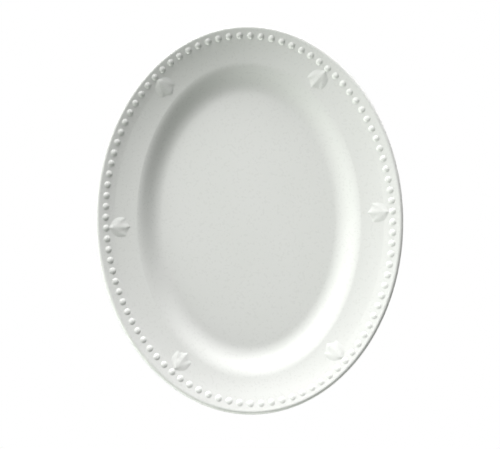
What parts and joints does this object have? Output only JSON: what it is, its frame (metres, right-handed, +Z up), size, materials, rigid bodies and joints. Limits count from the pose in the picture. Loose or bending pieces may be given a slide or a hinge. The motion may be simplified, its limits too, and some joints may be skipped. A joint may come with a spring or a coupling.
{
  "type": "serving platter",
  "caption": "Oval china serving platter: flat well, curved verge, wide sloping rim with a raised bead border and small leaf motifs, rolled edge, foot ring.",
  "frame": {"origin": "centre of the platter in plan, at the height of the foot ring's bearing face", "axes": "+Z up out of the well, Y along the length, X across the width"},
  "size_m": [0.242, 0.305, 0.0245],
  "materials": {
    "glazed_china": "clear gloss glaze over a white body, faintly grey-green",
    "glazed_relief": "clear gloss glaze over white relief, softened at its edges",
    "foot_china": "gloss glaze on the sides, bare fired body on the bearing face"
  },
  "bodies": {
    "root": {"well": "glazed_china", "verge": "glazed_china", "rim": "glazed_china", "rolled_edge": "glazed_china", "bead_run_1": "glazed_relief", "bead_run_2": "glazed_relief", "bead_run_3": "glazed_relief", "bead_run_4": "glazed_relief", "bead_run_5": "glazed_relief", "bead_run_6": "glazed_relief", "leaf_motifs": "glazed_relief", "foot_ring": "foot_china"}
  },
  "joints": []
}
